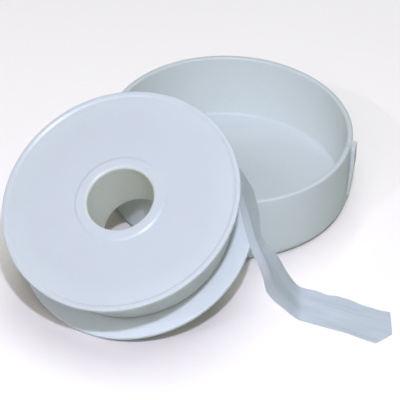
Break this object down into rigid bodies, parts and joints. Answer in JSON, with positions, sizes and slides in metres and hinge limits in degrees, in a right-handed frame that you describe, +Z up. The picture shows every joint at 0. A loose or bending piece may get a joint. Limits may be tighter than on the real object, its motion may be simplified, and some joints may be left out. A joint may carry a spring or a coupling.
{
  "type": "thread seal tape roll",
  "caption": "White flanged spool of thread seal tape, leaning on the rim of its own round slotted cover, with the loose end of the tape run out flat on the table.",
  "frame": {"origin": "centre of the cover's base, on the table", "axes": "+Z up, out of the open cover; +X to the viewer's right and -Y towards the viewer in the picture, with the spool leaning on the cover's front left and the loose tape running off to the right"},
  "size_m": [0.0807, 0.0859, 0.0355],
  "materials": {
    "cover_plastic": "satin moulded polypropylene, slightly see-through at the rim",
    "spool_plastic": "satin moulded polypropylene with soft highlights on the bead and the bore's mouth",
    "tape_film": "soft unsintered PTFE film, matt with a silky sheen along its length"
  },
  "bodies": {
    "cover": {"cover": "cover_plastic"},
    "tape_end": {"tape_tail": "tape_film"},
    "spool": {"spool_upper_half": "spool_plastic", "spool_lower_half": "spool_plastic", "tape_winding": "tape_film"}
  },
  "joints": [
    {"name": "spool_lift", "type": "slide", "parent": "cover", "child": "tape_end", "axis": [0, 0, 1], "range_m": [0, 0.04]},
    {"name": "spool_turn", "type": "hinge", "parent": "tape_end", "child": "spool", "pos_m": [-0.02053, -0.03349, 0.01774], "axis": [-0.2392, -0.3904, 0.889], "continuous": true}
  ]
}
